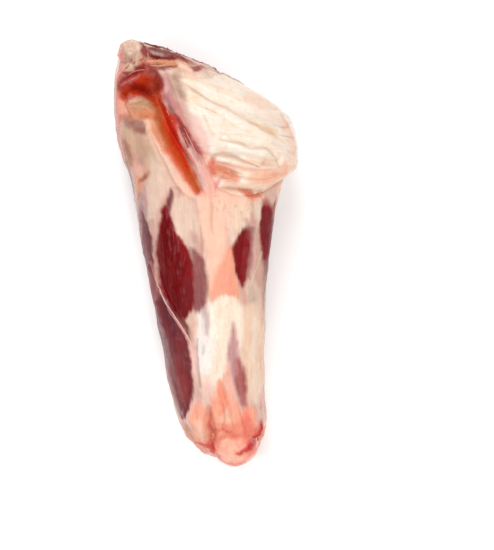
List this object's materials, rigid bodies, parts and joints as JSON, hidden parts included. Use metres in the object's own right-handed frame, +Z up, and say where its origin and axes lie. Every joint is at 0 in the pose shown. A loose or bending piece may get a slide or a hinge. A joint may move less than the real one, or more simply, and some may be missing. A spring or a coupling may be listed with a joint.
{
  "type": "raw lamb shank",
  "caption": "Raw foreleg joint of lamb lying on its side: tapering lean meat, a pad of fat at the thick end, and a bone that shows at both ends.",
  "frame": {"origin": "on the flat underside that the shank rests on, under the middle of its length", "axes": "+Y along the shank from the knuckle to the elbow cut, +Z up from the surface it lies on, +X towards the side with the fat pad"},
  "size_m": [0.0845, 0.2027, 0.0616],
  "materials": {
    "lean_meat": "wet raw muscle under a thin pale silver skin",
    "fat": "moist cream fat in soft folds",
    "bone": "moist gristle over bone"
  },
  "bodies": {
    "root": {"lean_meat": "lean_meat", "fat_cap": "fat", "shank_bone": "bone"}
  },
  "joints": []
}
